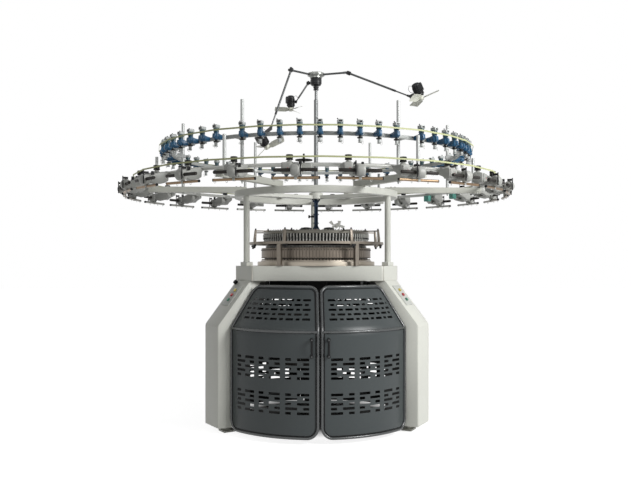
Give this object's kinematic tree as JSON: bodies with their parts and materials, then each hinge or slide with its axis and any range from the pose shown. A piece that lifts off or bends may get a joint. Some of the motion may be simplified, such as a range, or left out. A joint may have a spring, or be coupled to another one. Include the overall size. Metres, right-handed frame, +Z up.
{
  "type": "circular knitting machine",
  "caption": "Large circular knitting machine with bent slotted doors between its legs, a turning needle cylinder and dial, rings of yarn feeders on radial beams, and an overhead fan.",
  "frame": {"origin": "on the floor, under the axis of the needle cylinder, at the middle of the machine", "axes": "+Z up along the needle cylinder's axis; the doors face -Y; +X is to the right of someone who stands in front of the doors and looks at them"},
  "size_m": [3.336, 3.336, 3.0173],
  "materials": {
    "frame_paint": "satin warm off-white paint",
    "door_paint": "satin dark slate paint",
    "plate_metal": "semi-matt warm grey metal",
    "ring_steel": "machined steel",
    "roller_steel": "ground steel",
    "unit_grey": "satin mid grey paint",
    "feeder_blue": "glossy blue plastic",
    "belt_green": "pale yellow-green belt",
    "black_plastic": "semi-matt black plastic",
    "motor_black": "black paint",
    "blade_plastic": "off-white plastic",
    "hose_blue": "dark blue hose",
    "button_yellow": "yellow cap",
    "button_red": "red cap",
    "button_green": "green cap",
    "panel_grey": "satin grey panel",
    "pulley_black": "black moulded pulley"
  },
  "bodies": {
    "machine_frame": {"apron": "frame_paint", "base_ring": "plate_metal", "bed_plate": "plate_metal", "button_panels": "panel_grey", "cam_ring": "ring_steel", "centre_pole": "frame_paint", "dial_cap": "plate_metal", "dial_shaft": "ring_steel", "drive_motor": "motor_black", "fan_drive": "motor_black", "floor_tie": "frame_paint", "guide_ring": "plate_metal", "head_ring": "frame_paint", "leg_left": "frame_paint", "leg_rear": "frame_paint", "leg_right": "frame_paint", "levelling_feet": "ring_steel", "lower_drive_belt": "belt_green", "lower_rail": "ring_steel", "main_posts": "frame_paint", "oil_hoses": "hose_blue", "post_collars": "plate_metal", "radial_beams": "frame_paint", "rear_guards": "door_paint", "roller_bars": "roller_steel", "roller_feeders": "unit_grey", "roller_pulleys": "pulley_black", "short_stands": "frame_paint", "storage_feeders": "feeder_blue", "tall_stands": "frame_paint", "upper_drive_belt": "belt_green", "upper_rail": "ring_steel"},
    "fan_hub": {"fan_hub": "ring_steel", "inner_arms": "ring_steel"},
    "door_left": {"door_left": "door_paint", "handle_left": "black_plastic"},
    "door_right": {"door_right": "door_paint", "handle_right": "black_plastic"},
    "speed_knob": {"speed_knob": "black_plastic"},
    "cylinder": {"needle_cylinder": "ring_steel", "takedown_frame": "frame_paint"},
    "dial": {"dial": "ring_steel"},
    "takedown_roller_front": {"takedown_roller_front": "roller_steel"},
    "takedown_roller_back": {"takedown_roller_back": "roller_steel"},
    "winding_roller": {"winding_roller": "roller_steel"},
    "arm_right": {"outer_arm_right": "ring_steel", "fan_motor_right": "motor_black"},
    "propeller_right": {"propeller_right": "blade_plastic"},
    "arm_back": {"outer_arm_back": "ring_steel", "fan_motor_back": "motor_black"},
    "propeller_back": {"propeller_back": "blade_plastic"},
    "arm_left": {"outer_arm_left": "ring_steel", "fan_motor_left": "motor_black"},
    "propeller_left": {"propeller_left": "blade_plastic"},
    "button_yellow_left": {"button_yellow_left": "button_yellow"},
    "button_yellow_right": {"button_yellow_right": "button_yellow"},
    "button_red_left": {"button_red_left": "button_red"},
    "button_red_right": {"button_red_right": "button_red"},
    "button_green_left": {"button_green_left": "button_green"},
    "button_green_right": {"button_green_right": "button_green"}
  },
  "joints": [
    {"name": "cylinder_turn", "type": "hinge", "parent": "machine_frame", "child": "cylinder", "pos_m": [0, 0, 1.3], "axis": [0, 0, 1], "continuous": true},
    {"name": "dial_turn", "type": "hinge", "parent": "machine_frame", "child": "dial", "pos_m": [0, 0, 1.53], "axis": [0, 0, 1], "continuous": true},
    {"name": "roller_front_turn", "type": "hinge", "parent": "cylinder", "child": "takedown_roller_front", "pos_m": [0, -0.033, 0.905], "axis": [1, 0, 0], "continuous": true},
    {"name": "roller_back_turn", "type": "hinge", "parent": "cylinder", "child": "takedown_roller_back", "pos_m": [0, 0.033, 0.905], "axis": [1, 0, 0], "continuous": true},
    {"name": "winding_turn", "type": "hinge", "parent": "cylinder", "child": "winding_roller", "pos_m": [0, 0, 0.48], "axis": [1, 0, 0], "continuous": true},
    {"name": "door_right_hinge", "type": "hinge", "parent": "machine_frame", "child": "door_right", "pos_m": [0.71518, -0.57111, 0.3], "axis": [0, 0, 1], "range_deg": [0, 90]},
    {"name": "door_left_hinge", "type": "hinge", "parent": "machine_frame", "child": "door_left", "pos_m": [-0.71518, -0.57111, 0.3], "axis": [0, 0, -1], "range_deg": [0, 90]},
    {"name": "button_yellow_left_press", "type": "slide", "parent": "machine_frame", "child": "button_yellow_left", "axis": [0.6744, 0.3894, -0.6274], "range_m": [0, 0.004], "stiffness_N_per_m": 400, "springref_m": -0.003},
    {"name": "button_red_left_press", "type": "slide", "parent": "machine_frame", "child": "button_red_left", "axis": [0.6744, 0.3894, -0.6274], "range_m": [0, 0.004], "stiffness_N_per_m": 400, "springref_m": -0.003},
    {"name": "button_green_left_press", "type": "slide", "parent": "machine_frame", "child": "button_green_left", "axis": [0.6744, 0.3894, -0.6274], "range_m": [0, 0.004], "stiffness_N_per_m": 400, "springref_m": -0.003},
    {"name": "button_yellow_right_press", "type": "slide", "parent": "machine_frame", "child": "button_yellow_right", "axis": [-0.6744, 0.3894, -0.6274], "range_m": [0, 0.004], "stiffness_N_per_m": 400, "springref_m": -0.003},
    {"name": "button_red_right_press", "type": "slide", "parent": "machine_frame", "child": "button_red_right", "axis": [-0.6744, 0.3894, -0.6274], "range_m": [0, 0.004], "stiffness_N_per_m": 400, "springref_m": -0.003},
    {"name": "button_green_right_press", "type": "slide", "parent": "machine_frame", "child": "button_green_right", "axis": [-0.6744, 0.3894, -0.6274], "range_m": [0, 0.004], "stiffness_N_per_m": 400, "springref_m": -0.003},
    {"name": "speed_knob_turn", "type": "hinge", "parent": "machine_frame", "child": "speed_knob", "pos_m": [-0.66916, -0.28011, 1.1942], "axis": [-0.6744, -0.3894, 0.6274], "range_deg": [0, 270]},
    {"name": "fan_hub_turn", "type": "hinge", "parent": "machine_frame", "child": "fan_hub", "pos_m": [0, 0, 2.9903], "axis": [0, 0, 1], "continuous": true},
    {"name": "elbow_right", "type": "hinge", "parent": "fan_hub", "child": "arm_right", "pos_m": [0.27268, -0.09871, 2.9903], "axis": [0.3404, 0.9403, 0], "range_deg": [-24, 56]},
    {"name": "propeller_right_spin", "type": "hinge", "parent": "arm_right", "child": "propeller_right", "pos_m": [0.83868, -0.29275, 2.80355], "axis": [-0.3613, 0.1308, 0.9232], "continuous": true},
    {"name": "elbow_back", "type": "hinge", "parent": "fan_hub", "child": "arm_back", "pos_m": [-0.05086, 0.28551, 2.9903], "axis": [-0.9845, -0.1754, 0], "range_deg": [-4, 76]},
    {"name": "propeller_back_spin", "type": "hinge", "parent": "arm_back", "child": "propeller_back", "pos_m": [-0.21968, 0.87859, 2.9474], "axis": [0, 0, 1], "continuous": true},
    {"name": "elbow_left", "type": "hinge", "parent": "fan_hub", "child": "arm_left", "pos_m": [-0.22183, -0.1868, 2.9903], "axis": [0.6441, -0.7649, 0], "range_deg": [-67, 13]},
    {"name": "propeller_left_spin", "type": "hinge", "parent": "arm_left", "child": "propeller_left", "pos_m": [-0.45034, -0.39255, 2.37153], "axis": [-0.4709, -0.3966, 0.788], "continuous": true}
  ],
  "couplings": [
    {"joint": "dial_turn", "follows": "cylinder_turn", "ratio": 1},
    {"joint": "roller_back_turn", "follows": "roller_front_turn", "ratio": -1}
  ]
}
